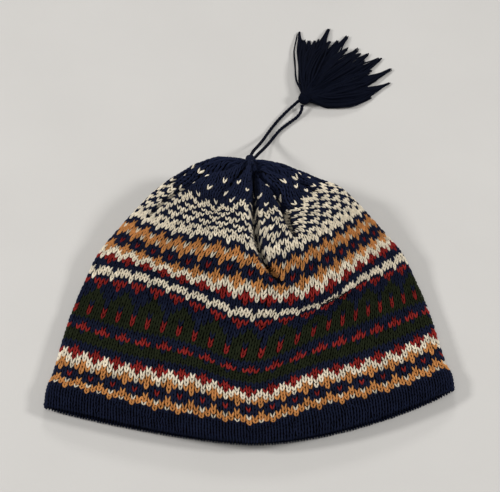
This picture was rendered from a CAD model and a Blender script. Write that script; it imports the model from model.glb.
"""Looks of a Fair Isle ski beanie that lies on its back: stitches, cord, tassel, floor, light and camera."""

import math

import bpy
import numpy as np
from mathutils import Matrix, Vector


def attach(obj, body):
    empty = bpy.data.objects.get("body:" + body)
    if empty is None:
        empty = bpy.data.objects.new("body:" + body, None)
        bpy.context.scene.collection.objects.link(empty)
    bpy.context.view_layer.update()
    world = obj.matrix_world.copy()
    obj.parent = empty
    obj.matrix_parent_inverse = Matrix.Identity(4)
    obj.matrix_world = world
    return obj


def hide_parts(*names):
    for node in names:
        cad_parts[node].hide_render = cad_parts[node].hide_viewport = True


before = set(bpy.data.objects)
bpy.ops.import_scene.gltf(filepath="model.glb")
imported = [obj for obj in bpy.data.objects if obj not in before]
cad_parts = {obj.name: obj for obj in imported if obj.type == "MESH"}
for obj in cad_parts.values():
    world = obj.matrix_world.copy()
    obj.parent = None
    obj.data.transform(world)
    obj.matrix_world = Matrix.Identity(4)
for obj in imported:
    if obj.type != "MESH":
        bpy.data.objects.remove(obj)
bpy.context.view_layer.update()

# Sizes of the knitted body, in metres
RIM_WIDTH = 0.246
BODY_LENGTH = 0.194
CROWN_HEIGHT = 0.038
KNIT_THICKNESS = 0.0026
HEM_THICKNESS = 0.0036
HEM_EDGE_ROW = -6.0
HEM_END_ROW = 0.0
LAST_ROW = 70.0

# Rows that wrap the rim's edge, and rows of hem that show inside
EDGE_ROWS = 2.0
INSIDE_ROWS = 6.0

# Wales round the hat: the first half lies in the upper layer
WALES = 144
WALE_LEAN = 0.045
LEAN_START_ROW = 10.0
LEAN_ROWS = 17.0

# Columns: row, half width as a share of half RIM_WIDTH, then for the upper layer's middle line
# and for the side folds their y and z as shares of BODY_LENGTH and CROWN_HEIGHT, roundness from
# 0 (flat) to 1 (domed), skew of the right fold towards +Y as a share of BODY_LENGTH, and crest,
# the share of the half width where the row sags furthest towards the rim.
SECTIONS = (
    (-6.0, 1.003, -0.002, 0.30, 0.160, 0.14, 0.06, 0.030, 0.02),
    (-3.0, 0.998, 0.032, 0.34, 0.205, 0.15, 0.06, 0.024, 0.02),
    (2.0, 0.974, 0.075, 0.35, 0.260, 0.16, 0.08, 0.016, 0.02),
    (10.0, 0.936, 0.180, 0.33, 0.381, 0.17, 0.12, 0.006, 0.03),
    (19.0, 0.886, 0.292, 0.28, 0.510, 0.19, 0.22, 0.002, 0.04),
    (25.0, 0.832, 0.384, 0.34, 0.606, 0.24, 0.40, 0.002, 0.05),
    (29.0, 0.792, 0.430, 0.47, 0.665, 0.29, 0.62, 0.002, 0.06),
    (36.0, 0.678, 0.522, 0.74, 0.762, 0.37, 0.85, 0.000, 0.12),
    (43.0, 0.577, 0.605, 0.92, 0.838, 0.45, 1.00, 0.000, 0.15),
    (50.0, 0.484, 0.707, 1.00, 0.899, 0.52, 1.00, 0.000, 0.12),
    (57.0, 0.372, 0.800, 1.03, 0.948, 0.60, 1.00, 0.000, 0.06),
    (63.0, 0.268, 0.880, 1.03, 0.982, 0.68, 1.00, 0.000, 0.02),
    (67.0, 0.160, 0.952, 0.98, 0.998, 0.70, 1.00, 0.000, 0.00),
    (70.0, 0.034, 0.985, 0.78, 0.985, 0.67, 1.00, 0.000, 0.00),
)

# Columns: row, y of the underside's middle line as a share of BODY_LENGTH, and the height of the
# wall above where it lies flat, as a share of CROWN_HEIGHT.
UNDERSIDE = (
    (-6.0, 0.012, 0.0),
    (2.0, 0.082, 0.0),
    (10.0, 0.190, 0.0),
    (19.0, 0.310, 0.0),
    (29.0, 0.450, 0.0),
    (36.0, 0.560, 0.0),
    (43.0, 0.670, 0.0),
    (50.0, 0.780, 0.0),
    (57.0, 0.885, 0.02),
    (63.0, 0.965, 0.14),
    (67.0, 1.005, 0.33),
    (70.0, 0.985, 0.52),
)

# Folds that run from the gather over the upper layer. Columns: the fold's line as pairs of row and
# place (-1 left fold, 0 middle, 1 right fold), half width to the left and to the right in the same
# measure, depth as a share of CROWN_HEIGHT, row of the foot, row where the fold has its full depth,
# its share of the wales that are tucked away in folds, and the depth in metres of the slit in its bottom.
FOLDS = (
    (((34, 0.160), (36, 0.140), (40, 0.085), (43, 0.058), (48, 0.036), (54, 0.030), (60, 0.050), (66, 0.062)),
     0.080, 0.170, 0.270, 33.0, 45.0, 0.06, 0.0085),
    (((42, 0.370), (45, 0.278), (50, 0.262), (56, 0.262), (60, 0.250), (63, 0.190), (66, 0.140)),
     0.080, 0.150, 0.220, 43.0, 52.0, 0.38, 0.0055),
    (((42, -0.250), (54, -0.240), (58, -0.230), (62, -0.180), (66, -0.080)),
     0.100, 0.100, 0.080, 41.0, 50.0, 0.04, 0.0),
    (((40, -0.680), (48, -0.640), (54, -0.605), (57, -0.600), (61, -0.520), (64, -0.380), (67, -0.200)),
     0.170, 0.120, 0.190, 40.0, 56.0, 0.30, 0.0085),
    (((54, 0.570), (59, 0.585), (61, 0.570), (64, 0.410), (67, 0.200)),
     0.120, 0.130, 0.140, 51.0, 60.0, 0.12, 0.0030),
    (((48, 0.800), (60, 0.790), (66, 0.600)), 0.090, 0.090, 0.090, 48.0, 60.0, 0.06, 0.0),
    (((44, -0.780), (60, -0.790), (66, -0.600)), 0.090, 0.090, 0.090, 44.0, 60.0, 0.06, 0.0),
)
# The slits' half width across the layer, the rows over which they open, and how dark they are for
# each metre of depth. Folds and slits grow shallow from SHALLOW_ROW on.
SLIT_HALF_WIDTH = 0.024
SLIT_OPENING_ROWS = 4.0
SLIT_SHADE = 200.0
SHALLOW_ROW = 65.5

# Creases in the flatter lower half. Columns: line, half width, depth, first row and last row.
CREASES = (
    (((18, 0.052), (24, 0.062), (34, 0.070)), 0.040, 0.060, 18.0, 36.0),
    (((-6, 0.020), (10, 0.030), (20, 0.048)), 0.060, 0.016, -9.0, 22.0),
)

# Columns: row, share of the wales that is tucked away in folds, how much wider the wales lie in the
# middle of the layer than at its sides, and the wales that have gone round the right side
TUCKED = (
    (12.0, 0.0, 0.0, 0.0), (22.0, 0.0, 0.10, 1.0), (30.0, 0.0, 0.14, 3.0), (37.0, 0.08, 0.16, 5.0),
    (42.0, 0.20, 0.12, 7.0), (48.0, 0.34, 0.10, 8.0), (54.0, 0.44, 0.06, 8.0), (60.0, 0.53, 0.0, 8.0),
    (63.0, 0.59, 0.0, 8.0), (66.0, 0.68, 0.0, 8.0), (68.0, 0.80, 0.0, 8.0), (70.0, 0.93, 0.0, 8.0),
)
UNDERSIDE_TUCKS = (-0.84, -0.56, -0.28, 0.0, 0.28, 0.56, 0.84)
TUCK_WIDTH = 0.034
MOST_TUCKED = 0.95

# How many rows the knitting lies nearer to the rim than the plain form has it. First column: row
# of the knitting; the others: the places across the upper layer. Underneath it fades over SLIDE_FADE.
SLIDE_FADE = 0.7
SLIDE_PLACES = (-1.0, -0.8, -0.6, -0.4, -0.25, -0.1, 0.05, 0.15, 0.3, 0.5, 0.75, 1.0)
SLIDES = (
    (-6.0, 0.0, 0.0, 0.0, 0.0, 0.0, 0.0, 0.0, 0.0, 0.0, 0.0, 0.0, 0.0),
    (0.0, 1.5, 1.8, 1.6, 1.5, 0.8, 1.1, 1.5, 0.2, -1.2, -0.8, 0.8, 0.3),
    (4.5, 1.9, 1.8, 1.0, 0.1, -0.5, -0.1, 0.4, -0.5, -1.4, -1.1, -0.2, -0.3),
    (9.5, 2.3, 1.8, 1.1, -0.3, -0.9, 0.3, 0.8, -0.2, -1.5, -0.9, -0.1, -0.4),
    (16.0, 2.5, 1.8, 0.5, -1.0, -1.0, 0.5, 0.4, -0.9, -2.3, -2.1, -1.3, -0.4),
    (20.0, 2.5, 1.2, -0.1, -1.3, -0.8, 0.3, -0.2, -1.3, -2.3, -2.4, -1.6, -0.4),
    (28.5, 2.9, 1.6, -0.3, -1.0, -0.9, 0.1, 0.1, 0.5, 0.7, -0.7, 0.1, 0.1),
    (33.0, 3.2, 2.6, 1.6, 1.0, 0.6, 0.6, 1.0, 1.4, 1.3, 0.8, 1.1, 0.8),
    (37.5, 3.2, 3.6, 3.2, 2.5, 1.1, 0.1, 1.1, 2.0, 1.4, 1.5, 1.8, 1.3),
    (42.0, 2.9, 3.2, 3.2, 1.7, -0.6, -1.1, 0.3, 1.1, 0.8, 1.4, 1.7, 1.5),
    (49.0, 2.3, 2.9, 3.0, 2.1, 0.8, 0.0, 0.3, 0.9, 1.6, 1.5, 1.1, 1.0),
    (57.0, 1.5, 2.5, 3.5, 3.9, 3.1, 0.0, 0.6, 2.1, 3.9, 1.6, 0.3, 0.3),
    (64.0, 0.8, 1.4, 1.9, 1.9, 1.5, 0.9, 0.9, 1.2, 1.5, 1.0, 0.3, 0.1),
    (70.0, 0.0, 0.0, 0.0, 0.0, 0.0, 0.0, 0.0, 0.0, 0.0, 0.0, 0.0, 0.0),
)

# Right of the main fold the knitting lies this many rows nearer to the rim: the middle row of that
# stretch, its reach in rows to each side, and the width over which it fades
JUMP = 2.0
JUMP_ROW = 43.0
JUMP_REACH = 9.0
JUMP_WIDTH = 0.09

# The roll where the puffed crown hangs over the flatter lower half, right of the middle
ROLL_ROW = 27.5
ROLL_LENGTH = 0.020
ROLL_CENTRE = 0.42
ROLL_HALF_WIDTH = 0.36
ROLL_SWELL_ROWS = 2.0
ROLL_FADE_ROWS = 7.0
ROLL_ROWS = 9.0

# Squareness of the layers' edges where the hat is flat and where it is domed
FLAT_SQUARENESS = 9.0
DOME_SQUARENESS = 2.1
UNDERSIDE_SQUARENESS = 5.0
UNDERSIDE_FLATNESS = 1.08
DOME_ONSET = 1.25
SAG_POWER = 1.6

# The shoulder of the crown that hangs, on the +X side
SHOULDER_X = 0.032
SHOULDER_HALF_WIDTH = 0.030
SHOULDER_Y = 0.055
SHOULDER_LENGTH = 0.040
SHOULDER_DROOP = 0.0072

# Small gathers between the folds: how many round the hat, their height at the crown, how unevenly
# they stand round the hat and how far they drift with each row
GATHERS = 34
GATHER_HEIGHT = 0.0007
GATHER_START_ROW = 46.0
GATHER_SWAY = 0.9
GATHER_SWAY_TURNS = 3.1
GATHER_DRIFT = 0.05

# One stitch: all heights in metres above the backing, widths in wales, lengths in rows. A leg is
# given by the distance of its foot and of its head from the wale's middle, and its half width.
STITCH_RISE = 0.00065
STITCH_ROUND = 0.00055
STITCH_SINK = 0.00035
BODY_LEG = (0.085, 0.395, 0.168)
HEM_LEG = (0.125, 0.375, 0.130)
LEG_START = -0.36
LEG_LENGTH = 1.48
LEG_BOW = 0.45
LEG_SLANT = 0.30
# Width and rise along a leg, each a stretch of a half wave: its start, its length and its power
LEG_WIDTH_WAVE = (0.09, 0.81, 0.75)
LEG_RISE_WAVE = (0.20, 0.74, 0.8)
# From this share of its length a leg sinks under the next stitch, by this share of its rise
HEAD_START = 0.6
HEAD_SINK = 0.35
# A stitch's width is measured this far inside its edges. Narrower ones than the first width in
# metres are left out, and from the second one on they have their full height.
STITCH_EDGE = 0.05
NARROWEST_STITCH = 0.0011
FULL_STITCH = 0.0024
LAST_STITCH_ROW = 70
INSIDE_STITCH_ROWS = 2
# Points along and across a leg
UPPER_PATCH = (5, 5)
LOWER_PATCH = (4, 4)

# Disorder from stitch to stitch: sideways in wales, along in rows, and in width, rise and tone
STRAY_SIDEWAYS = 0.035
STRAY_ALONG = 0.05
STRAY_WIDTH = 0.08
STRAY_RISE = 0.12
STRAY_TONE = 0.16
SIDE_TONE = 0.05

# The backing under the stitches, the stitches that lie deeper, and how much lighter the crown is
BACKING_DEPTH = 0.00140
BACKING_LIGHT = 0.02
BACKING_STEP = 0.5
INSIDE_LIGHT = 0.8
SUNK_DEPTH = 0.00050
SUNK_SHADE = 900.0
CROWN_LIGHT = 0.75
CROWN_LIGHT_ROW = 52.0
CROWN_LIGHT_ROWS = 8.0
# From this row the stitches lie so close that no gap between them is dark
GATHERED_ROW = 66.0
GATHERED_ROWS = 2.0

# Route of each strand of the cord, from the gather to the tassel, as in the CAD
CORD_DIAMETER = 0.0023
CORD_LEFT_ROUTE = (
    (-0.0014, 0.0973, 0.0255), (0.0003, 0.1018, 0.0242), (0.0021, 0.1083, 0.0206), (0.0043, 0.1149, 0.0159),
    (0.0066, 0.1219, 0.0108), (0.0090, 0.1292, 0.0058), (0.0112, 0.1356, 0.0024), (0.0131, 0.1397, 0.0013),
    (0.0161, 0.1445, 0.0013), (0.0200, 0.1502, 0.0013), (0.0252, 0.1566, 0.0015), (0.0300, 0.1612, 0.0026),
    (0.0333, 0.1636, 0.0042),
)
CORD_RIGHT_ROUTE = (
    (0.0014, 0.0973, 0.0255), (0.0035, 0.1010, 0.0242), (0.0058, 0.1066, 0.0206), (0.0081, 0.1127, 0.0159),
    (0.0103, 0.1192, 0.0108), (0.0127, 0.1260, 0.0058), (0.0149, 0.1319, 0.0024), (0.0168, 0.1356, 0.0013),
    (0.0200, 0.1402, 0.0013), (0.0242, 0.1446, 0.0013), (0.0288, 0.1487, 0.0013), (0.0327, 0.1524, 0.0015),
    (0.0352, 0.1560, 0.0026), (0.0361, 0.1602, 0.0042),
)
# Where the left strand runs on inside the tassel and is tied in
CORD_TIED_IN = (
    (0.0359, 0.1650, 0.0050), (0.0385, 0.1665, 0.0051), (0.0414, 0.1702, 0.0049), (0.0444, 0.1744, 0.0044),
    (0.0473, 0.1785, 0.0040), (0.0500, 0.1823, 0.0038),
)
CORD_TWIST = 0.0052
CORD_PLY_DEPTH = 0.26
CORD_STATIONS = 170
CORD_SIDES = 14
PLIES = 2
ROUTE_STEPS = 12

# Tassel, as in the CAD
TASSEL_LENGTH = 0.070
TASSEL_HEADING = math.radians(54)
NECK_RADIUS = 0.0034
NECK_PLACE = (0.0385, 0.1665)
NECK_HEIGHT = 0.0051

# Thread wound round the tassel's neck; BINDING_STATIONS are for each turn
BINDING_RADIUS = 0.0041
BINDING_TURNS = 5
BINDING_THREAD = 0.0005
BINDING_WIDTH = 0.0030
BINDING_STATIONS = 26
BINDING_SIDES = 8
BINDING_PLY_DEPTH = 0.2
BINDING_TWIST = 0.002
BINDING_TONE = 0.45

# Loops folded over at the tassel's head. Every second one is larger: reach in neck radii, and how
# far the loop goes back past the neck.
HEAD_LOOPS = 26
HEAD_STATIONS = 11
HEAD_REACHES = (0.9, 1.06)
HEAD_LOOP_DEPTHS = (0.0032, 0.0038)
HEAD_SETBACK = 0.0012
HEAD_ROUNDNESS = 0.7
HEAD_PLY_DEPTH = 0.2
HEAD_TONE_SPREAD = 0.12

# Locks of the tassel. Columns: direction of the tip and of the first stretch in degrees from +X,
# length share, height share
TASSEL_LOCKS = (
    (93, 96, 0.91, 0.30), (90, 95, 0.80, 0.65), (86, 92, 0.79, 0.35), (82, 90, 0.79, 0.85),
    (79, 87, 0.82, 0.45), (75, 82, 0.98, 0.55), (71, 80, 0.82, 0.90), (66, 72, 0.86, 0.40),
    (62, 66, 0.96, 0.60), (57, 62, 0.82, 0.95), (51, 52, 0.88, 0.40), (47, 48, 0.84, 0.90),
    (43, 40, 0.90, 0.50), (40, 35, 0.80, 0.80), (35, 28, 0.96, 0.45), (30, 20, 0.78, 0.75),
    (25, 12, 0.97, 0.40), (20, 6, 0.76, 0.70), (15, -2, 0.89, 0.30), (10, -8, 0.72, 0.60),
    (4, -16, 0.66, 0.30), (12, -20, 0.78, 0.25),
)
STRANDS_PER_LOCK = 14
LOCK_WIDTH = 0.0046
# Height in neck radii, and the start and length of the half wave that it follows along a lock
LOCK_HEIGHT = 1.9
LOCK_HEIGHT_SPREAD = 0.16
LOCK_ARCH = (0.30, 0.66)

# One strand. Its radius, the pitch of its twist and the height of its waves are in metres, and
# STRAND_STRAY is in lock widths. The starts and lengths are shares of the strand's own length.
STRAND_RADIUS = 0.00072
STRAND_STATIONS = 15
STRAND_SIDES = 6
STRAND_PLY_DEPTH = 0.25
STRAND_TWIST = 0.004
STRAND_LENGTH_SPREAD = 0.035
STRAND_BEND = 0.5
STRAND_STRAY = 0.5
NECK_SPOT_FADE = 0.4
STRAY_START = 0.35
WAVE_HEIGHT = 0.0006
WAVE_COUNTS = (0.8, 1.6)
TIP_START = 0.66
TIP_LENGTH = 0.34
TIP_GATHER = 0.8
TAPER_START = 0.5
TAPER_LENGTH = 0.45
TAPER = 0.25
POINT_START = 0.97
POINT_SHARE = 0.5
STRAND_TONE_SPREAD = 0.16

# Camera at the photograph's angle to the hat
FRAME_WIDTH_PX = 500
CAMERA_ELEVATION = math.radians(57)
CAMERA_DISTANCE = 0.95
CAMERA_FOCAL_PX = 1460
CAMERA_TARGET = (0.0, 0.047, 0.0)
SENSOR_WIDTH_MM = 36.0

# Lamps. Columns: name, azimuth from +X and elevation in degrees, distance and size in metres, power
LAMPS = (
    ("right_lamp", -3.0, 36.0, 1.8, 0.32, 15.0),
    ("left_lamp", 183.0, 36.0, 1.8, 0.32, 16.5),
    ("back_lamp", 90.0, 34.0, 1.8, 0.36, 6.5),
    ("front_lamp", 262.0, 70.0, 1.8, 1.0, 8.0),
)
LAMP_TARGET = (0.0, 0.03, 0.01)
LAMP_COLOUR = (1.0, 0.985, 0.96)
WORLD_COLOUR = (1.0, 0.995, 0.985, 1.0)
WORLD_STRENGTH = 0.20

# The floor lies just under the hat
FLOOR_HALF_WIDTH = 6.0
FLOOR_DROP = 0.0001

# Colours as linear light
NAVY = (0.0096, 0.0136, 0.0350)
CREAM = (0.830, 0.748, 0.600)
GOLD = (0.565, 0.250, 0.082)
RED = (0.290, 0.024, 0.021)
GREEN = (0.0165, 0.0215, 0.0095)
CORD_NAVY = (0.0030, 0.0045, 0.0120)
FLOOR = (0.600, 0.590, 0.575)

# Knitting chart, from the first row above the hem to the crown. A row is one repeat of stitches:
# n navy, c cream, g gold, r red, v green. Repeats of 3, 4 and 6 stitches all fit 144 wales.
CHART = (
    "gnnn", "ggcg", "cggg", "nngn", "rnnn", "nngn", "cggg", "ccgc", "rccc", "rrcr", "rnnn",
    "nnnn", "vvvv", "vvvv", "nvvv", "rrnr", "rnnn", "nnnn", "vvvv", "rvv", "rvv",
    "nvvnvv", "nvvvvv", "nnvvvn", "nnnvnn", "rnnn", "rrnr", "nncn", "cccc", "ccnc", "nnnn",
    "rnnn", "rrcr", "rccc", "ccgc", "cggg", "nngn", "rnnn", "nngn", "cggg", "ggcg", "gnnn",
    "nncn", "cccc", "ccnc", "nccc", "cnnn", "ccnc", "nncn", "nccc", "cnnn", "ccnc", "nncn",
    "nccc", "ccnc", "cnnn", "nncn", "nnnn", "nnnn", "cnnn", "nnnn", "nnnn", "nncn",
)
CHART_PHASE = 3
YARNS = {"n": "navy", "c": "cream", "g": "gold", "r": "red", "v": "green"}
YARN_COLOURS = {"n": NAVY, "c": CREAM, "g": GOLD, "r": RED, "v": GREEN}

random = np.random.default_rng(7)


def ease(x):
    """Smooth step from 0 to 1."""
    x = np.clip(x, 0.0, 1.0)
    return x * x * (3.0 - 2.0 * x)


def column(table, index, row):
    """Smooth curve through one column of a table, read at the given rows."""
    rows = np.array([line[0] for line in table])
    values = np.array([line[index] for line in table])
    steps = np.diff(rows)
    slopes = np.diff(values) / steps
    weight = steps[1:] / (steps[:-1] + steps[1:])
    tangents = np.concatenate((slopes[:1], weight * slopes[:-1] + (1 - weight) * slopes[1:], slopes[-1:]))
    row = np.asarray(row, float)
    i = np.clip(np.searchsorted(rows, row, side="right") - 1, 0, len(rows) - 2)
    t = (row - rows[i]) / steps[i]
    return ((1 + 2 * t) * (1 - t) ** 2 * values[i] + t * (1 - t) ** 2 * steps[i] * tangents[i]
            + t * t * (3 - 2 * t) * values[i + 1] + t * t * (t - 1) * steps[i] * tangents[i + 1])


def wall_thickness(row):
    """The hem is knitted double, so it is thicker than the rest."""
    return KNIT_THICKNESS + (HEM_THICKNESS - KNIT_THICKNESS) * ease((HEM_END_ROW + 1.0 - row) / 2.0)


def drooped(x, y):
    """The crown's shoulder on the +X side hangs towards the rim."""
    beside = np.clip(1 - ((x - SHOULDER_X) / SHOULDER_HALF_WIDTH) ** 2, 0, 1) ** 1.5
    return y - SHOULDER_DROOP * beside * ease((y - SHOULDER_Y) / SHOULDER_LENGTH)


def middle_surface(around, row):
    """Middle of the wall before the crown's folds. around runs 0 to 2 over the upper layer from
    -X to +X, and 2 to 4 back underneath."""
    around = np.mod(around, 4.0)
    upper = around <= 2.0
    across = np.where(upper, around - 1.0, 3.0 - around)
    half_width = column(SECTIONS, 1, row) * RIM_WIDTH / 2
    upper_y = column(SECTIONS, 2, row)
    upper_z = column(SECTIONS, 3, row) * CROWN_HEIGHT
    side_y = column(SECTIONS, 4, row)
    side_z = column(SECTIONS, 5, row) * CROWN_HEIGHT
    domed = np.clip(column(SECTIONS, 6, row), 0, 1)
    crest = column(SECTIONS, 8, row)
    lower_y = column(UNDERSIDE, 1, row)
    lower_z = wall_thickness(row) / 2 + np.maximum(column(UNDERSIDE, 2, row), 0) * CROWN_HEIGHT

    place = (1 - domed) * across + domed * np.sin(math.pi / 2 * across)
    squareness = FLAT_SQUARENESS + (DOME_SQUARENESS - FLAT_SQUARENESS) * np.minimum(domed * DOME_ONSET, 1)
    dome = np.sqrt(np.clip(1 - np.abs(place) ** squareness, 0, 1))
    bowl = np.sqrt(np.clip(1 - np.abs(place) ** UNDERSIDE_SQUARENESS, 0, 1))
    bowl = np.minimum(bowl * UNDERSIDE_FLATNESS, 1)
    away = np.where(place > crest, (place - crest) / (1 - crest), (crest - place) / (1 + crest))
    sag = 1 - away ** SAG_POWER
    fold_y = side_y + column(SECTIONS, 7, row) * place
    y = fold_y + np.where(upper, upper_y - fold_y, lower_y - fold_y) * sag
    z = side_z + np.where(upper, (upper_z - side_z) * dome, (lower_z - side_z) * bowl)

    hang = np.clip(1 - np.abs(across - ROLL_CENTRE) / ROLL_HALF_WIDTH, 0, 1)
    reach = ease((row - ROLL_ROW) / ROLL_SWELL_ROWS) * ease((ROLL_ROW + ROLL_ROWS - row) / ROLL_FADE_ROWS)
    y = y - np.where(upper, ROLL_LENGTH * ease(hang) * reach, 0)
    x = half_width * place
    return np.stack([x, drooped(x, (y - 0.5) * BODY_LENGTH), z], -1)


def fold_line(line, row):
    """Place of a fold's line at each row, before and after its ends as at its ends."""
    rows, places = zip(*line)
    return np.interp(row, rows, places)


def slit_depth(across, row):
    """Depth of the narrow slits in the bottom of the folds."""
    depth = np.zeros(np.broadcast(across, row).shape)
    for line, _, _, _, foot_row, _, _, deepest in FOLDS:
        nearness = 1 - np.minimum(np.abs(across - fold_line(line, row)) / SLIT_HALF_WIDTH, 1)
        depth += deepest * nearness ** 1.5 * ease((row - foot_row) / SLIT_OPENING_ROWS)
    return depth * (1 - ease((row - SHALLOW_ROW) / (LAST_ROW - SHALLOW_ROW)))


def fold_depth(around, row):
    """Depth of the crown's folds, of the creases below them and of the small gathers between them."""
    across = np.mod(around, 4.0) - 1.0
    depth = slit_depth(across, row)
    fading = 1 - ease((row - SHALLOW_ROW) / (LAST_ROW - SHALLOW_ROW))
    for line, left, right, full_depth, foot_row, full_row, _, _ in FOLDS:
        beside = across - fold_line(line, row)
        distance = np.abs(beside) / np.where(beside < 0, left, right)
        valley = (1 - np.minimum(distance, 1)) ** 2
        depth += full_depth * CROWN_HEIGHT * ease((row - foot_row) / (full_row - foot_row)) * fading * valley
    for line, half_width, full_depth, first_row, last_row in CREASES:
        valley = (1 - np.minimum(np.abs(across - fold_line(line, row)) / half_width, 1)) ** 2
        length = np.sin(math.pi * np.clip((row - first_row) / (last_row - first_row), 0, 1))
        depth += full_depth * CROWN_HEIGHT * length * valley
    depth = np.where(across <= 1.0, depth, 0)
    rising = ease((row - GATHER_START_ROW) / (LAST_ROW - GATHER_START_ROW))
    phase = around / 4.0 * GATHERS * math.pi + GATHER_SWAY * np.sin(around * GATHER_SWAY_TURNS)
    phase = phase + GATHER_DRIFT * row
    return depth + GATHER_HEIGHT * rising * (1 - np.abs(np.sin(phase)))


def wall_frame(around, row):
    """Point on the wall's middle, its outward normal and the direction towards the crown."""
    step = 1e-3
    row_step = 0.05
    point = middle_surface(around, row)
    along_row = middle_surface(around + step, row) - middle_surface(around - step, row)
    along_wale = (middle_surface(around, np.minimum(row + row_step, LAST_ROW))
                  - middle_surface(around, np.maximum(row - row_step, HEM_EDGE_ROW)))
    normal = np.cross(along_row, along_wale)
    normal /= np.maximum(np.linalg.norm(normal, axis=-1, keepdims=True), 1e-12)
    along_wale /= np.maximum(np.linalg.norm(along_wale, axis=-1, keepdims=True), 1e-12)
    return point, normal, along_wale


def skin(around, row):
    """Outside of the knit and its outward direction. Rows below the hem's edge wrap the rim and
    then run back up inside."""
    wall_row = np.maximum(row, HEM_EDGE_ROW)
    inside = row < HEM_EDGE_ROW - EDGE_ROWS
    wall_row = np.where(inside, 2 * HEM_EDGE_ROW - EDGE_ROWS - row, wall_row)
    point, normal, along_wale = wall_frame(around, wall_row)
    turn = np.clip((HEM_EDGE_ROW - row) / EDGE_ROWS, 0, 1) * math.pi
    outward = normal * np.cos(turn)[..., None] - along_wale * np.sin(turn)[..., None]
    depth = np.where(row >= HEM_EDGE_ROW, fold_depth(around, wall_row), 0)
    place = point + outward * (wall_thickness(wall_row) / 2)[..., None] - normal * depth[..., None]
    return place, outward


def path_lengths(path):
    """Length of the way to each point of a path. The points lie along the last axis but one."""
    steps = np.linalg.norm(np.diff(path, axis=-2), axis=-1)
    return np.concatenate((np.zeros((*steps.shape[:-1], 1)), np.cumsum(steps, axis=-1)), axis=-1)


def read_grid(grid, x, y):
    """Value of a grid between its points, at column x and row y."""
    y = np.clip(y, 0, grid.shape[0] - 1.001)
    i = np.minimum(x.astype(int), grid.shape[1] - 2)
    j = y.astype(int)
    a, b = x - i, y - j
    if grid.ndim == 3:
        a, b = a[..., None], b[..., None]
    return ((grid[j, i] * (1 - a) + grid[j, i + 1] * a) * (1 - b)
            + (grid[j + 1, i] * (1 - a) + grid[j + 1, i + 1] * a) * b)


class Skin:
    """The skin on a fine grid, read between its points."""
    PER_WALE = 4
    PER_ROW = 4

    def __init__(self):
        self.low = HEM_EDGE_ROW - EDGE_ROWS - INSIDE_ROWS
        rows = np.linspace(self.low, LAST_ROW, int(round((LAST_ROW - self.low) * self.PER_ROW)) + 1)
        around = np.linspace(0, 4, WALES * self.PER_WALE + 1)
        self.place, _ = skin(*np.meshgrid(around, rows))
        along_row = np.gradient(self.place, axis=1)
        along_row[:, 0] = along_row[:, -1] = (self.place[:, 1] - self.place[:, -2]) / 2
        normal = np.cross(along_row, np.gradient(self.place, axis=0))
        self.normal = normal / np.maximum(np.linalg.norm(normal, axis=-1, keepdims=True), 1e-15)

    def read(self, around, row):
        """Points of the skin and their outward directions."""
        x = np.mod(around, 4.0) / 4.0 * WALES * self.PER_WALE
        y = (row - self.low) * self.PER_ROW
        return read_grid(self.place, x, y), read_grid(self.normal, x, y)


def lean(across, row):
    """The wales lean a little to the right up the front."""
    return WALE_LEAN * ease((row - LEAN_START_ROW) / LEAN_ROWS) * np.clip(1 - across ** 2, 0, 1)


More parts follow.
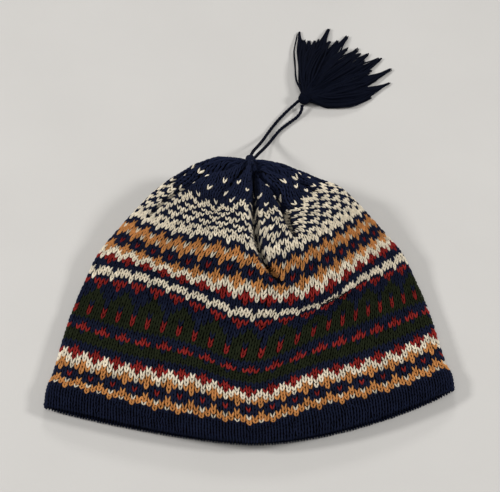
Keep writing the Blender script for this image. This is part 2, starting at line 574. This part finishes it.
class Cloth:
    """Where the knitting lies on the skin. The crown's folds tuck wales away, and the rows slide
    towards the rim where the crown hangs over."""
    STEP = 0.25
    PLACES = 81
    FINE_PLACES = 1201

    def __init__(self):
        self.low = HEM_EDGE_ROW - EDGE_ROWS - INSIDE_ROWS
        rows = np.arange(self.low, LAST_ROW + self.STEP / 2, self.STEP)
        self.around = self.spread_wales(rows)
        self.slides = self.slide_rows(rows)

    def spread_wales(self, rows):
        """Place round the hat of every wale, in each row."""
        across = np.linspace(-1, 1, self.FINE_PLACES)
        half = WALES // 2
        wales = np.arange(0, WALES + self.STEP / 2, self.STEP)
        spread = np.zeros((len(rows), len(wales)))
        for j, row in enumerate(rows):
            share, widening, wrapped = (float(column(TUCKED, k, max(row, TUCKED[0][0]))) for k in (1, 2, 3))
            share = min(max(share, 0.0), MOST_TUCKED)
            along = self.length_share(across + 1, row)
            parts = [fold[6] * ease((row - fold[4]) / (fold[5] - fold[4])) for fold in FOLDS]
            upper = along + widening * np.sin(2 * math.pi * along) / (2 * math.pi)
            upper = (1 - share * sum(parts)) * upper
            lower = (1 - share) * self.length_share(across + 3, row)
            for part, (line, *_) in zip(parts, FOLDS):
                at = fold_line(line, row)
                at = at - lean(at, row)
                upper += share * part * ease((across - at) / TUCK_WIDTH + 0.5)
            for at in UNDERSIDE_TUCKS:
                lower += share / len(UNDERSIDE_TUCKS) * ease((across - at) / TUCK_WIDTH + 0.5)
            above = half - wrapped
            count = np.concatenate((above * upper, (above + (WALES - above) * lower)[1:]))
            around = np.concatenate((across + 1, (across + 3)[1:]))
            spread[j] = np.interp(wales, count, around)
        return spread

    def slide_rows(self, rows):
        """How far the knitting slides towards the rim, at places across the layer, in each row."""
        places = np.linspace(-1, 1, self.PLACES)
        by_place = [(place, *column(SLIDES, i + 1, np.clip(rows, SLIDES[0][0], LAST_ROW)))
                    for i, place in enumerate(SLIDE_PLACES)]
        return np.stack([column(by_place, j + 1, places) for j in range(len(rows))])

    @staticmethod
    def length_share(around, row):
        """Length of the row up to each point, as a share of the layer's."""
        points = middle_surface(around, np.full_like(around, np.clip(row, HEM_EDGE_ROW, LAST_ROW)))
        lengths = path_lengths(points)
        return lengths / lengths[-1]

    def spread(self, wale, row):
        """Place round the hat of a wale, before the lean."""
        return read_grid(self.around, np.mod(wale, WALES) / self.STEP, (row - self.low) / self.STEP)

    def slide(self, around, row):
        """Rows that the knitting lies nearer to the rim, with the jump beside the main fold."""
        across = np.mod(around, 4.0) - 1.0
        beneath = across > 1.0
        place = np.where(beneath, np.where(across < 2.0, 1.0, -1.0), across)
        beyond = np.minimum(across - 1.0, 3.0 - across) / SLIDE_FADE
        fading = np.where(beneath, 1 - ease(beyond), 1.0)
        value = read_grid(self.slides, (place + 1) / 2 * (self.PLACES - 1), (row - self.low) / self.STEP)
        value = value * fading
        beside = across + lean(across, row) - fold_line(FOLDS[0][0], row - value - JUMP / 2)
        jump = JUMP * ease(2 * beside / SLIT_HALF_WIDTH + 0.5) * (1 - ease(beside / JUMP_WIDTH))
        return value + jump * ease(1 - np.abs(row - JUMP_ROW) / JUMP_REACH)

    def find(self, wale, row):
        """Place round the hat and row of the skin for a wale and row of the knitting."""
        row = np.asarray(row, float)
        skin_row = row - self.slide(self.spread(wale, row), row)
        around = self.spread(wale, skin_row)
        across = np.mod(around, 4.0) - 1.0
        return around + np.where(across <= 1.0, lean(across, skin_row), 0), skin_row


def chart_colour(wale, row):
    """Letter of the yarn of one stitch. Row 0 is the first one above the hem."""
    if row < 0 or row >= len(CHART):
        return "n"
    repeat = CHART[row]
    phase = CHART_PHASE if len(repeat) == 4 else 0
    return repeat[(wale - phase) % len(repeat)]


def sunk(wale, row):
    """A single stitch of red, or of cream among gold, lies a little deeper than its neighbours."""
    beside = chart_colour(wale - 1, row) + chart_colour(wale + 1, row)
    own = chart_colour(wale, row)
    return (own == "r" and "r" not in beside) or (own == "c" and beside == "gg")


def quad_mesh(name, points, quads):
    """Mesh from points and the quads between them."""
    mesh = bpy.data.meshes.new(name)
    mesh.vertices.add(points.size // 3)
    mesh.vertices.foreach_set("co", points.astype(np.float32).reshape(-1))
    mesh.loops.add(quads.size)
    mesh.loops.foreach_set("vertex_index", quads.astype(np.int32).reshape(-1))
    mesh.polygons.add(quads.size // 4)
    mesh.polygons.foreach_set("loop_start", np.arange(0, quads.size, 4, dtype=np.int32))
    mesh.update(calc_edges=True)
    return mesh


def patch_mesh(name, points, uv, tone):
    """One mesh of many small patches. points is (patches, stations, cross, 3)."""
    count, stations, cross = points.shape[:3]
    corner = np.arange(stations * cross).reshape(stations, cross)
    quads = np.stack([corner[:-1, :-1], corner[:-1, 1:], corner[1:, 1:], corner[1:, :-1]], -1).reshape(-1, 4)
    loops = (quads[None] + (np.arange(count) * stations * cross)[:, None, None]).reshape(-1)
    mesh = quad_mesh(name, points, loops)
    layer = mesh.uv_layers.new(name="yarn")
    flat_uv = np.broadcast_to(uv, (count, stations, cross, 2)).reshape(-1, 2)
    layer.data.foreach_set("uv", flat_uv[loops].astype(np.float32).reshape(-1))
    shade = mesh.attributes.new("tone", "FLOAT", "POINT")
    shade.data.foreach_set("value", np.repeat(tone.astype(np.float32), stations * cross))
    mesh.shade_smooth()
    return mesh


def piece(name, mesh, material):
    """Visible piece that stays with the hat."""
    thing = bpy.data.objects.new(name, mesh)
    bpy.context.scene.collection.objects.link(thing)
    mesh.materials.append(material)
    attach(thing, "root")
    return thing


def half_wave(t, start, length, power):
    """Stretch of a half wave that is 0 at its ends and 1 in its middle."""
    return np.sin(math.pi * (start + length * t)) ** power


def stitch_legs(surface, cloth, wales, rows, depths, stations, cross, leg):
    """Both legs of each stitch: a V whose tip points to the rim, lying on the backing."""
    foot, head, half_width = leg
    t = np.linspace(0, 1, stations)
    c = np.linspace(-1, 1, cross)
    swing = foot + (head - foot) * ((1 - LEG_BOW) * t + LEG_BOW * ease(t))
    half = half_width * half_wave(t, *LEG_WIDTH_WAVE)
    sinking = HEAD_SINK * ease((t - HEAD_START) / (1 - HEAD_START))
    rise = STITCH_RISE * (half_wave(t, *LEG_RISE_WAVE) - sinking)
    round_off = (STITCH_ROUND + STITCH_SINK) * np.sqrt(np.clip(1 - c * c, 0, 1)) - STITCH_SINK
    left, _ = surface.read(*cloth.find(wales + STITCH_EDGE, rows + 0.5))
    right, _ = surface.read(*cloth.find(wales + (1 - STITCH_EDGE), rows + 0.5))
    width = np.linalg.norm(right - left, axis=-1) / (1 - 2 * STITCH_EDGE)
    kept = width > NARROWEST_STITCH
    wales, rows, depths, width = wales[kept], rows[kept], depths[kept], width[kept]
    full = np.minimum(width / FULL_STITCH, 1)[:, None, None]
    count = len(wales)
    middle, skin_row = cloth.find(wales + 0.5, rows + 0.5)
    shade = SLIT_SHADE * slit_depth(np.mod(middle, 4.0) - 1.0, skin_row) + SUNK_SHADE * depths
    shade = shade - CROWN_LIGHT * ease((skin_row - CROWN_LIGHT_ROW) / CROWN_LIGHT_ROWS)
    wander = random.normal(0, 1, (count, 4))
    patches, tones = [], []
    for side in (-1, 1):
        wale = (wales + 0.5 + STRAY_SIDEWAYS * wander[:, 0])[:, None, None] + side * swing[None, :, None]
        across = half[None, :, None] * c[None, None, :]
        wale = wale + across * (1 + STRAY_WIDTH * wander[:, 2, None, None])
        row = (rows + STRAY_ALONG * wander[:, 1])[:, None, None] + LEG_START + LEG_LENGTH * t[None, :, None]
        row = np.minimum(row - side * LEG_SLANT * across, LAST_ROW)
        place, normal = surface.read(*cloth.find(wale, row))
        lift = rise[None, :, None] * (1 + STRAY_RISE * wander[:, 3, None, None]) + round_off[None, None, :]
        patch = place + normal * (lift * full - BACKING_DEPTH - depths[:, None, None])[..., None]
        patch[..., 2] = np.maximum(patch[..., 2], 0)
        patches.append(patch)
        tones.append(0.5 + STRAY_TONE * wander[:, 2] + SIDE_TONE * side - shade)
    u, v = np.meshgrid(c * 0.5 + 0.5, t)
    return np.concatenate(patches), np.stack([u, v], -1)[None], np.concatenate(tones)


def make_stitches(surface, cloth, materials):
    """One piece for each yarn and layer; the hem is a piece of its own."""
    first = int(HEM_EDGE_ROW - EDGE_ROWS) - INSIDE_STITCH_ROWS
    groups = {}
    for row in range(first, LAST_STITCH_ROW):
        for wale in range(WALES):
            yarn = chart_colour(wale, row)
            layer = "upper" if wale < WALES // 2 else "lower"
            part = "hem" if row < 0 else YARNS[yarn]
            groups.setdefault((part, layer, yarn), []).append((wale, row, sunk(wale, row)))
    for (part, layer, yarn), spots in groups.items():
        wales, rows, depths = np.array(spots, float).T
        stations, cross = UPPER_PATCH if layer == "upper" else LOWER_PATCH
        leg = HEM_LEG if part == "hem" else BODY_LEG
        legs = stitch_legs(surface, cloth, wales, rows, depths * SUNK_DEPTH, stations, cross, leg)
        mesh = patch_mesh(f"knit_{part}_{layer}", *legs)
        piece(f"knit_{part}_{layer}", mesh, materials[yarn])


def grid_piece(name, grid, colours, material):
    """Sheet from a grid of points that closes round the hat."""
    height, width = grid.shape[:2]
    index = np.arange(height * width).reshape(height, width)
    following = np.roll(index, -1, axis=1)
    mesh = quad_mesh(name, grid, np.stack([index[:-1], following[:-1], following[1:], index[1:]], -1))
    tint = mesh.color_attributes.new("yarn_colour", "FLOAT_COLOR", "POINT")
    tint.data.foreach_set("color", colours.astype(np.float32).reshape(-1))
    mesh.shade_smooth()
    return piece(name, mesh, material)


def chart_grid(rows, wales, dim):
    """Colours of the chart at each point of a grid, with alpha."""
    out = np.ones((len(rows), len(wales), 4))
    for j, row in enumerate(rows):
        light = dim + (1 - dim) * ease((row - GATHERED_ROW) / GATHERED_ROWS)
        for i, wale in enumerate(wales):
            yarn = chart_colour(int(wale), int(math.floor(row)))
            out[j, i, :3] = np.array(YARN_COLOURS[yarn]) * light
    return out


def make_backing(surface, cloth, material):
    """Back of the fabric just under the stitches."""
    rows = np.arange(surface.low, LAST_ROW + 0.01, BACKING_STEP)
    wales = np.arange(0, WALES, BACKING_STEP)
    place, normal = surface.read(*cloth.find(*np.meshgrid(wales, rows)))
    outer = place - normal * BACKING_DEPTH
    outer[..., 2] = np.maximum(outer[..., 2], 0)
    colours = chart_grid(rows, wales, BACKING_LIGHT)
    shell = grid_piece("knit_backing", outer, colours, material)
    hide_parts("knit_body")


def make_inside(cloth, material):
    """The inside wall with its floats."""
    rows = np.arange(HEM_EDGE_ROW + INSIDE_ROWS - 1.0, LAST_ROW + 0.01, 1.0)
    wales = np.arange(0, WALES, 1.0)
    around, skin_row = cloth.find(*np.meshgrid(wales, rows))
    point, normal, _ = wall_frame(around, skin_row)
    depth = wall_thickness(skin_row) / 2 + fold_depth(around, skin_row)
    inner = (point - normal * depth[..., None])[:, ::-1]
    colours = chart_grid(rows, wales, INSIDE_LIGHT)[:, ::-1]
    grid_piece("knit_inside", inner, colours, material)


def tube_points(path, radii, sides, ply_depth, ply_pitch):
    """Rings of a twisted tube along each path. path is (tubes, stations, 3), radii (tubes, stations)."""
    tangent = np.gradient(path, axis=1)
    tangent /= np.maximum(np.linalg.norm(tangent, axis=-1, keepdims=True), 1e-12)
    up = np.zeros_like(tangent)
    up[..., 2] = 1.0
    side = np.cross(tangent, up)
    weak = np.linalg.norm(side, axis=-1, keepdims=True) < 1e-3
    side = np.where(weak, np.array([1.0, 0.0, 0.0]), side)
    side /= np.linalg.norm(side, axis=-1, keepdims=True)
    up = np.cross(side, tangent)
    angle = np.linspace(0, 2 * math.pi, sides + 1)
    lengths = path_lengths(path)[..., None] / ply_pitch
    swell = 1 - ply_depth * (1 - np.abs(np.cos((angle - lengths * 2 * math.pi) * PLIES / 2)))
    ring = side[:, :, None] * np.cos(angle)[:, None] + up[:, :, None] * np.sin(angle)[:, None]
    points = path[:, :, None] + ring * (radii[..., None] * swell)[..., None]
    return points, np.stack(np.broadcast_arrays(angle / (2 * math.pi), lengths), -1)


def smooth_route(points, count):
    """Evenly spaced points on a Catmull-Rom curve through the route's points."""
    points = np.array(points)
    ends = np.concatenate(([2 * points[0] - points[1]], points, [2 * points[-1] - points[-2]]))
    t = np.linspace(0, 1, ROUTE_STEPS + 1)[:-1, None]
    fine = []
    for before, start, finish, after in zip(ends, ends[1:], ends[2:], ends[3:]):
        speed = finish - before
        bend = 2 * before - 5 * start + 4 * finish - after
        twist = 3 * start - before - 3 * finish + after
        fine.append(0.5 * (2 * start + speed * t + bend * t * t + twist * t ** 3))
    fine = np.concatenate(fine + [points[-1:]])
    lengths = path_lengths(fine)
    at = np.linspace(0, lengths[-1], count)
    return np.stack([np.interp(at, lengths, fine[:, axis]) for axis in range(3)], -1), float(lengths[-1])


def make_cord(name, route, material):
    """One strand of the doubled cord, laid loosely along its route."""
    path, length = smooth_route(route, CORD_STATIONS)
    radii = np.full((1, CORD_STATIONS), CORD_DIAMETER / 2)
    points, uv = tube_points(path[None], radii, CORD_SIDES, CORD_PLY_DEPTH, CORD_TWIST)
    mesh = patch_mesh(name, points, uv, np.array([0.5]))
    cord = piece(name, mesh, material)
    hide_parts(name.replace("_strand", ""))


def level_direction(angle):
    """Direction along the floor, turned from +X."""
    return np.array([math.cos(angle), math.sin(angle), 0.0])


def neck_frame():
    """Middle of the tassel's neck, the tassel's direction, and the directions to its left and up."""
    axis = level_direction(TASSEL_HEADING)
    left = np.array([-axis[1], axis[0], 0.0])
    return np.array([*NECK_PLACE, NECK_HEIGHT]), axis, left, np.array([0.0, 0.0, 1.0])


def strand_path(neck, lock, s, length):
    """A strand leaves the neck, bends towards its lock's tip and strays a little on the way."""
    tip_turn, first_turn, _, height = lock
    tip_way = level_direction(math.radians(tip_turn))
    first_way = level_direction(math.radians(first_turn))
    beside = np.array([-tip_way[1], tip_way[0], 0.0])
    bend, tip = first_way * length * STRAND_BEND, tip_way * length
    path = neck + 2 * (s * (1 - s))[:, None] * bend + (s * s)[:, None] * tip
    spot_radius = math.sqrt(random.uniform(0, 1)) * (NECK_RADIUS - STRAND_RADIUS)
    spot_angle = random.uniform(0, 2 * math.pi)
    aside = spot_radius * math.cos(spot_angle) * (1 - ease(s / NECK_SPOT_FADE))
    stray = random.normal(0, STRAND_STRAY) * LOCK_WIDTH
    waves = s * random.uniform(*WAVE_COUNTS) + random.uniform(0, 1)
    out = ease(s / STRAY_START)
    aside = aside + stray * out * (1 - TIP_GATHER * ease((s - TIP_START) / TIP_LENGTH))
    aside = aside + WAVE_HEIGHT * np.sin(2 * math.pi * waves) * s
    path = path + beside * aside[:, None]
    height = height + random.normal(0, LOCK_HEIGHT_SPREAD)
    high = NECK_RADIUS * LOCK_HEIGHT * height * half_wave(s, *LOCK_ARCH, 1)
    level = neck[2] + spot_radius * math.sin(spot_angle)
    z = level * (1 - out) + (STRAND_RADIUS + np.maximum(high, 0)) * out
    path[:, 2] = np.clip(z, STRAND_RADIUS, 2 * NECK_HEIGHT)
    return path


def make_tassel(material):
    """Bare strands in locks; each strand comes to a point at its lock's tip."""
    neck = neck_frame()[0]
    s = np.linspace(0, 1, STRAND_STATIONS)
    taper = (1 - TAPER * ease((s - TAPER_START) / TAPER_LENGTH)) * np.where(s > POINT_START, POINT_SHARE, 1)
    paths = []
    for lock in TASSEL_LOCKS:
        for k in range(STRANDS_PER_LOCK):
            shorter = abs(random.normal(0, STRAND_LENGTH_SPREAD)) if k else 0
            paths.append(strand_path(neck, lock, s, TASSEL_LENGTH * lock[2] * (1 - shorter)))
    radii = np.tile(STRAND_RADIUS * taper, (len(paths), 1))
    points, uv = tube_points(np.array(paths), radii, STRAND_SIDES, STRAND_PLY_DEPTH, STRAND_TWIST)
    tone = 0.5 + random.normal(0, STRAND_TONE_SPREAD, len(paths))
    mesh = patch_mesh("tassel_strands", points, uv, tone)
    strands = piece("tassel_strands", mesh, material)
    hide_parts("tassel")
    return strands


def make_tassel_head(material):
    """Strands folded over at the top of the tassel, as bent loops round its head."""
    neck, axis, left, up = neck_frame()
    swing = math.pi * (np.linspace(0, 1, HEAD_STATIONS) - 0.5)
    paths = []
    for k in range(HEAD_LOOPS):
        turn = math.pi * k / HEAD_LOOPS
        out = left * math.cos(turn) + up * math.sin(turn)
        spread = NECK_RADIUS * HEAD_REACHES[k % 2] * np.sin(swing)
        back = HEAD_SETBACK + HEAD_LOOP_DEPTHS[k % 2] * np.cos(swing) ** HEAD_ROUNDNESS
        paths.append(neck - axis * back[:, None] + out * spread[:, None])
    radii = np.full((HEAD_LOOPS, HEAD_STATIONS), STRAND_RADIUS)
    points, uv = tube_points(np.array(paths), radii, STRAND_SIDES, HEAD_PLY_DEPTH, STRAND_TWIST)
    mesh = patch_mesh("tassel_head", points, uv, 0.5 + random.normal(0, HEAD_TONE_SPREAD, HEAD_LOOPS))
    return piece("tassel_head", mesh, material)


def make_binding(material):
    """Thread wound round the neck."""
    neck, axis, left, up = neck_frame()
    t = np.linspace(0, 1, BINDING_TURNS * BINDING_STATIONS)
    angle = 2 * math.pi * BINDING_TURNS * t
    along = (t - 0.5) * (BINDING_WIDTH - 2 * BINDING_THREAD)
    path = (neck + axis * along[:, None] + left * (np.cos(angle) * BINDING_RADIUS)[:, None]
            + up * (np.sin(angle) * BINDING_RADIUS)[:, None])
    radii = np.full((1, len(t)), BINDING_THREAD)
    points, uv = tube_points(path[None], radii, BINDING_SIDES, BINDING_PLY_DEPTH, BINDING_TWIST)
    mesh = patch_mesh("tassel_binding_thread", points, uv, np.array([BINDING_TONE]))
    thread = piece("tassel_binding_thread", mesh, material)
    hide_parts("tassel_binding")
    return thread


def new_material(name):
    """Material with its node tree and its main shader."""
    material = bpy.data.materials.new(name)
    material.use_nodes = True
    return material, material.node_tree, material.node_tree.nodes["Principled BSDF"]


def feed(tree, node, inputs):
    """Give each named input of a node its value, or link it to an output of another node."""
    for socket, value in inputs.items():
        if isinstance(value, bpy.types.NodeSocket):
            tree.links.new(value, node.inputs[socket])
        else:
            node.inputs[socket].default_value = value


def add_node(tree, kind, inputs, output=0, **settings):
    """Add a shader node and give the output that is asked for."""
    node = tree.nodes.new("ShaderNode" + kind)
    for name, value in settings.items():
        setattr(node, name, value)
    feed(tree, node, inputs)
    return node.outputs[output]


def wool_material(name, colour, sheen=0.02, ply_bump=0.4):
    """Yarn: plies that twist along it, fine fibres, and a tone of its own for each stitch."""
    material, tree, shader = new_material(name)
    uv = add_node(tree, "UVMap", {}, uv_map="yarn")
    along = add_node(tree, "Mapping", {
        "Vector": uv, "Scale": (1.6, 2.2, 1.0), "Rotation": (0.0, 0.0, math.radians(35))})
    plies = add_node(tree, "TexWave", {
        "Vector": along, "Scale": 1.4, "Distortion": 1.2, "Detail": 2.0}, "Fac", wave_profile="SIN")
    place = add_node(tree, "TexCoord", {}, "Object")
    fibres = add_node(tree, "TexNoise", {"Vector": place, "Scale": 2600.0, "Detail": 4.0, "Roughness": 0.7})
    heather = add_node(tree, "TexNoise", {"Vector": place, "Scale": 420.0, "Detail": 3.0})

    tone = add_node(tree, "Attribute", {}, "Fac", attribute_name="tone")
    mottled = add_node(tree, "Math", {0: tone, 1: 0.55, 2: heather}, operation="MULTIPLY_ADD")
    shade = add_node(tree, "MapRange", {
        "Value": mottled, "From Min": -0.55, "From Max": 1.15, "To Min": 0.07, "To Max": 1.30})
    groove = add_node(tree, "MapRange", {"Value": plies, "To Min": 0.78, "To Max": 1.08})
    strength = add_node(tree, "Math", {0: shade, 1: groove}, operation="MULTIPLY")
    tint = add_node(tree, "VectorMath", {0: colour, "Scale": strength}, operation="SCALE")
    heights = add_node(tree, "Math", {0: plies, 1: 1.4, 2: fibres}, operation="MULTIPLY_ADD")
    bump = add_node(tree, "Bump", {"Height": heights, "Strength": ply_bump, "Distance": 0.00018})

    feed(tree, shader, {
        "Base Color": tint, "Normal": bump, "Roughness": 0.92, "Specular IOR Level": 0.06,
        "Sheen Weight": sheen, "Sheen Roughness": 0.55,
        "Sheen Tint": (*[0.35 + 0.65 * c for c in colour], 1.0)})
    return material


def fabric_back_material(name, bump_strength):
    """Back of the knit: the chart's colours, with the bumps of purl stitches and floats."""
    material, tree, shader = new_material(name)
    yarn = add_node(tree, "Attribute", {}, "Color", attribute_name="yarn_colour")
    place = add_node(tree, "TexCoord", {}, "Object")
    fuzz = add_node(tree, "TexNoise", {"Vector": place, "Scale": 900.0, "Detail": 4.0})
    shade = add_node(tree, "MapRange", {"Value": fuzz, "To Min": 0.55, "To Max": 1.35})
    tint = add_node(tree, "VectorMath", {0: yarn, "Scale": shade}, operation="SCALE")
    purl = add_node(tree, "TexVoronoi", {"Vector": place, "Scale": 420.0}, "Distance")
    bump = add_node(tree, "Bump", {"Height": purl, "Strength": bump_strength, "Distance": 0.0006})
    feed(tree, shader, {
        "Base Color": tint, "Normal": bump, "Roughness": 0.95, "Specular IOR Level": 0.05,
        "Sheen Weight": 0.02})
    return material


def floor_material():
    """Pale surface, faintly mottled and napped."""
    material, tree, shader = new_material("pale_floor")
    place = add_node(tree, "TexCoord", {}, "Object")
    cloud = add_node(tree, "TexNoise", {"Vector": place, "Scale": 14.0, "Detail": 3.0})
    shade = add_node(tree, "MapRange", {"Value": cloud, "To Min": 0.96, "To Max": 1.04})
    tint = add_node(tree, "VectorMath", {0: FLOOR, "Scale": shade}, operation="SCALE")
    nap = add_node(tree, "TexNoise", {"Vector": place, "Scale": 900.0, "Detail": 3.0})
    bump = add_node(tree, "Bump", {"Height": nap, "Strength": 0.25, "Distance": 0.0003})
    feed(tree, shader, {"Base Color": tint, "Normal": bump, "Roughness": 0.95, "Specular IOR Level": 0.1})
    return material


def make_floor():
    mesh = bpy.data.meshes.new("floor")
    half = FLOOR_HALF_WIDTH
    corners = [(-half, -half, 0), (half, -half, 0), (half, half, 0), (-half, half, 0)]
    mesh.from_pydata(corners, [], [(0, 1, 2, 3)])
    floor = bpy.data.objects.new("floor", mesh)
    floor.location.z = -FLOOR_DROP
    bpy.context.scene.collection.objects.link(floor)
    mesh.materials.append(floor_material())


def make_lamp(name, azimuth, elevation, distance, size, power):
    """Square lamp that shines at the hat."""
    data = bpy.data.lights.new(name, "AREA")
    data.shape = "SQUARE"
    data.size = size
    data.energy = power
    data.color = LAMP_COLOUR
    lamp = bpy.data.objects.new(name, data)
    a, e = math.radians(azimuth), math.radians(elevation)
    way = Vector((math.cos(a) * math.cos(e), math.sin(a) * math.cos(e), math.sin(e)))
    lamp.location = Vector(LAMP_TARGET) + way * distance
    lamp.rotation_euler = (-way).to_track_quat("-Z", "Y").to_euler()
    bpy.context.scene.collection.objects.link(lamp)


def make_studio():
    """Soft room light from all round, with lamps whose faint shadows fall to the left, right and front."""
    for lamp in LAMPS:
        make_lamp(*lamp)
    world = bpy.data.worlds.new("studio")
    bpy.context.scene.world = world
    world.use_nodes = True
    sky = world.node_tree.nodes["Background"]
    sky.inputs["Color"].default_value = WORLD_COLOUR
    sky.inputs["Strength"].default_value = WORLD_STRENGTH


def make_camera():
    data = bpy.data.cameras.new("camera")
    data.sensor_fit = "HORIZONTAL"
    data.sensor_width = SENSOR_WIDTH_MM
    data.lens = CAMERA_FOCAL_PX / FRAME_WIDTH_PX * SENSOR_WIDTH_MM
    data.clip_start = 0.01
    camera = bpy.data.objects.new("camera", data)
    target = Vector(CAMERA_TARGET)
    away = Vector((0.0, -math.cos(CAMERA_ELEVATION), math.sin(CAMERA_ELEVATION)))
    camera.location = target + away * CAMERA_DISTANCE
    camera.rotation_euler = (-away).to_track_quat("-Z", "Y").to_euler()
    bpy.context.scene.collection.objects.link(camera)
    bpy.context.scene.camera = camera


def main():
    scene = bpy.context.scene
    scene.view_settings.view_transform = "Standard"
    scene.view_settings.look = "None"
    make_camera()
    cord_wool = wool_material("cord_wool", CORD_NAVY, sheen=0.01, ply_bump=0.6)
    binding = make_binding(cord_wool)
    head = make_tassel_head(cord_wool)
    strands = make_tassel(cord_wool)
    make_cord("cord_left_strand", CORD_LEFT_ROUTE + CORD_TIED_IN, cord_wool)
    make_cord("cord_right_strand", CORD_RIGHT_ROUTE, cord_wool)

    surface = Skin()
    cloth = Cloth()
    wools = {letter: wool_material(f"{YARNS[letter]}_wool", YARN_COLOURS[letter]) for letter in YARNS}
    make_backing(surface, cloth, fabric_back_material("knit_backing", bump_strength=0.4))
    make_inside(cloth, fabric_back_material("knit_inside", bump_strength=1.0))
    make_stitches(surface, cloth, wools)
    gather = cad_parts["crown_gather"]
    gather.data.materials.clear()
    gather.data.materials.append(wools["n"])
    make_floor()
    make_studio()


main()
